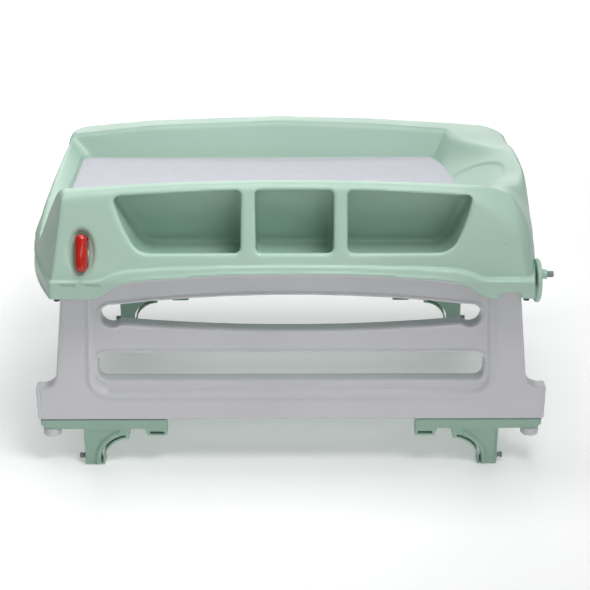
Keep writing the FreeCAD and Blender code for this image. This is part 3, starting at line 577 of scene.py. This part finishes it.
axes = volume((-315, -325, 343), (-295, -270, 408), 0.7)
solid("pull_lever", lever_field(*axes), axes, "lever", RED, ["release_lever"], simplify=0.0)

# ---------------------------------------------------------------- side plate and peg
def turned(name, node, look, rounding, extra=None):
    """A turned part whose axis runs along X, in the box of its node."""
    low, high = ([c / MM for c in corner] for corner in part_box(node))
    cy, cz = (low[1] + high[1]) / 2, (low[2] + high[2]) / 2
    radius = (high[2] - low[2]) / 2
    axes = volume(low, high, SMALL)
    u = axes[0] - (low[0] + high[0]) / 2
    radial = np.hypot(axes[1] - cy, axes[2] - cz)
    field = both(radial - radius, np.abs(u) - (high[0] - low[0]) / 2, rounding)
    if extra:
        field = extra(field, u, radial)
    return solid(name, field, axes, "tray", look, [node], simplify=0.004)


turned("hinge_cover", "side_plate", MINT, 2.6,
       lambda f, u, r: without(f, both(np.abs(r - 24) - 0.8, 2.6 - u), 0.6))
turned("parking_peg", "side_peg", MINT, 1.2,
       lambda f, u, r: without(f, both(np.abs(r - 8) - 1.2, np.abs(u - 1.5) - 0.9), 0.4))
turned("parking_peg_tip", "side_peg_tip", GREY, 1.6)

# ---------------------------------------------------------------- mat
def make_mat():
    """A closed cushion in the box of the CAD's mat, its head edge curved."""
    low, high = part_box("changing_mat")
    x0, x1 = low.x - 0.0035, high.x - 0.0015
    y0, y1 = low.y + 0.0015, high.y - 0.0015
    base, top = low.z + 0.0012, high.z - 0.0022
    bulge, corner = 0.028, 0.014  # curve of the head edge and radius of the corners
    rows, columns = 42, 66
    places, faces = [], []
    for level in (base, top):
        for j in range(rows + 1):
            v = j / rows
            y = y0 + (y1 - y0) * v
            s = 2 * v - 1
            edge = min(y - y0, y1 - y)
            tuck = corner - math.sqrt(max(0, corner ** 2 - (corner - edge) ** 2)) if edge < corner else 0
            right = x1 - bulge * s * s - tuck
            for i in range(columns + 1):
                places.append((x0 + tuck + (right - x0 - tuck) * i / columns, y, level))
    layer = (rows + 1) * (columns + 1)

    def spot(i, j, level):
        return level * layer + j * (columns + 1) + i

    for j in range(rows):
        for i in range(columns):
            faces.append((spot(i, j, 1), spot(i + 1, j, 1), spot(i + 1, j + 1, 1), spot(i, j + 1, 1)))
            faces.append((spot(i, j, 0), spot(i, j + 1, 0), spot(i + 1, j + 1, 0), spot(i + 1, j, 0)))
    loop = [(i, 0) for i in range(columns)] + [(columns, j) for j in range(rows)]
    loop += [(i, rows) for i in range(columns, 0, -1)] + [(0, j) for j in range(rows, 0, -1)]
    for (ia, ja), (ib, jb) in zip(loop, loop[1:] + loop[:1]):
        faces.append((spot(ia, ja, 0), spot(ib, jb, 0), spot(ib, jb, 1), spot(ia, ja, 1)))
    mesh = bpy.data.meshes.new("mat_cover")
    mesh.from_pydata(places, [], faces)
    mat = bpy.data.objects.new("mat_cover", mesh)
    bpy.context.collection.objects.link(mat)
    puff(mat, cap=0.004)
    mesh.shade_smooth()
    modifier = mat.modifiers.new("soften", "SUBSURF")
    modifier.levels = modifier.render_levels = 1
    dress(mat, "tray", FABRIC, ["changing_mat"])


def puff(piece, cap):
    """Swells a cover with the cloth solver; no point moves further than cap."""
    start = [v.co.copy() for v in piece.data.vertices]
    bpy.context.view_layer.objects.active = piece
    cloth = piece.modifiers.new("cloth", "CLOTH")
    settings = cloth.settings
    settings.quality, settings.mass = 4, 0.3
    settings.tension_stiffness = settings.compression_stiffness = 20
    settings.bending_stiffness = 1.5
    settings.use_pressure, settings.uniform_pressure_force = True, 2.5
    settings.effector_weights.gravity = 0
    cloth.collision_settings.use_collision = False
    scene = bpy.context.scene
    for moment in range(1, 21):
        scene.frame_set(moment)
    shape = piece.evaluated_get(bpy.context.evaluated_depsgraph_get()).data
    moved = [v.co.copy() for v in shape.vertices]
    piece.modifiers.remove(cloth)
    lowest = min(p.z for p in start)
    for vertex, old, new in zip(piece.data.vertices, start, moved):
        step = new - old
        if step.length > cap:
            step *= cap / step.length
        place = old + step
        place.z = max(place.z, lowest - 0.0008)
        vertex.co = place
    scene.frame_set(1)


make_mat()

# ---------------------------------------------------------------- carried-over hardware
for name, look in (("front_hinge_rod", STEEL), ("back_hinge_rod", STEEL), ("front_rod_washers", STEEL),
                   ("back_rod_washers", STEEL), ("lever_pivot_pin", STEEL), ("lever_spring", STEEL),
                   ("corner_buffers", DARK)):
    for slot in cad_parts[name].material_slots:
        slot.material = look

# ---------------------------------------------------------------- floor, light and camera
def pale_floor():
    made, nodes, links, shader, place = material("pale_floor")
    cloud = spread(nodes, links, noise(nodes, links, place, 1.5), 0, 1)
    links.new(tint(nodes, links, cloud, (0.93, 0.93, 0.94), (0.95, 0.95, 0.955)), shader.inputs["Base Color"])
    shader.inputs["Roughness"].default_value = 0.55
    shader.inputs["Specular IOR Level"].default_value = 0.2
    shader.inputs["Emission Color"].default_value = (1.0, 1.0, 1.0, 1)
    shader.inputs["Emission Strength"].default_value = 0.19
    mesh = bpy.data.meshes.new("floor")
    reach = 14.0
    mesh.from_pydata([(-reach, -reach, 0), (reach, -reach, 0), (reach, reach, 0), (-reach, reach, 0)], [],
                     [(0, 1, 2, 3)])
    floor = bpy.data.objects.new("floor", mesh)
    bpy.context.collection.objects.link(floor)
    mesh.materials.append(made)


def lamp(name, place, aim, size, power, spread=180):
    data = bpy.data.lights.new(name, "AREA")
    data.shape, data.size, data.size_y = "RECTANGLE", size[0], size[1]
    data.energy, data.spread = power, math.radians(spread)
    made = bpy.data.objects.new(name, data)
    made.location = place
    direction = Vector(aim) - Vector(place)
    made.rotation_euler = direction.to_track_quat("-Z", "Y").to_euler()
    bpy.context.collection.objects.link(made)


pale_floor()
world = bpy.data.worlds.new("studio")
world.use_nodes = True
backdrop = world.node_tree.nodes["Background"]
backdrop.inputs["Color"].default_value = (1.0, 1.0, 1.0, 1)
# seen directly the world is white; as a light it is weak, so that shaded faces stay dark
path = world.node_tree.nodes.new("ShaderNodeLightPath")
level = world.node_tree.nodes.new("ShaderNodeMath")
level.operation = "MULTIPLY_ADD"
level.inputs[1].default_value, level.inputs[2].default_value = 0.85, 0.10
world.node_tree.links.new(path.outputs["Is Camera Ray"], level.inputs[0])
world.node_tree.links.new(level.outputs["Value"], backdrop.inputs["Strength"])
scene = bpy.context.scene
scene.world = world
scene.view_settings.view_transform = "Standard"
lamp("key", (0.42, -0.95, 2.0), (-0.62, -0.15, 0.3), (0.9, 0.7), 6.0, spread=90)
lamp("overhead", (-0.1, 0.0, 2.2), (-0.1, 0.25, 0.3), (1.6, 1.0), 20)
lamp("backdrop", (0, 3.4, 2.2), (0, 3.9, 0), (5.0, 2.0), 120)
lamp("under_fill", (0, 2.6, 0.9), (0, 0, 0.05), (2.4, 0.7), 14)
lamp("front_floor", (0.4, -2.1, 1.3), (-0.1, -1.1, 0), (2.4, 0.5), 6)
lamp("front_low", (0.9, -2.5, 0.45), (0.2, 0, 0.12), (1.2, 0.4), 4.5)

camera = bpy.data.objects.new("camera", bpy.data.cameras.new("camera"))
camera.data.lens, camera.data.sensor_width = 1400 / 590 * 36, 36
camera.data.shift_x, camera.data.shift_y = 0.0, -0.0017
camera.location = (-0.003, -2.185, 1.148)
camera.rotation_euler = (math.radians(90 - 24.0), 0, math.radians(-0.27))
bpy.context.collection.objects.link(camera)
scene.camera = camera
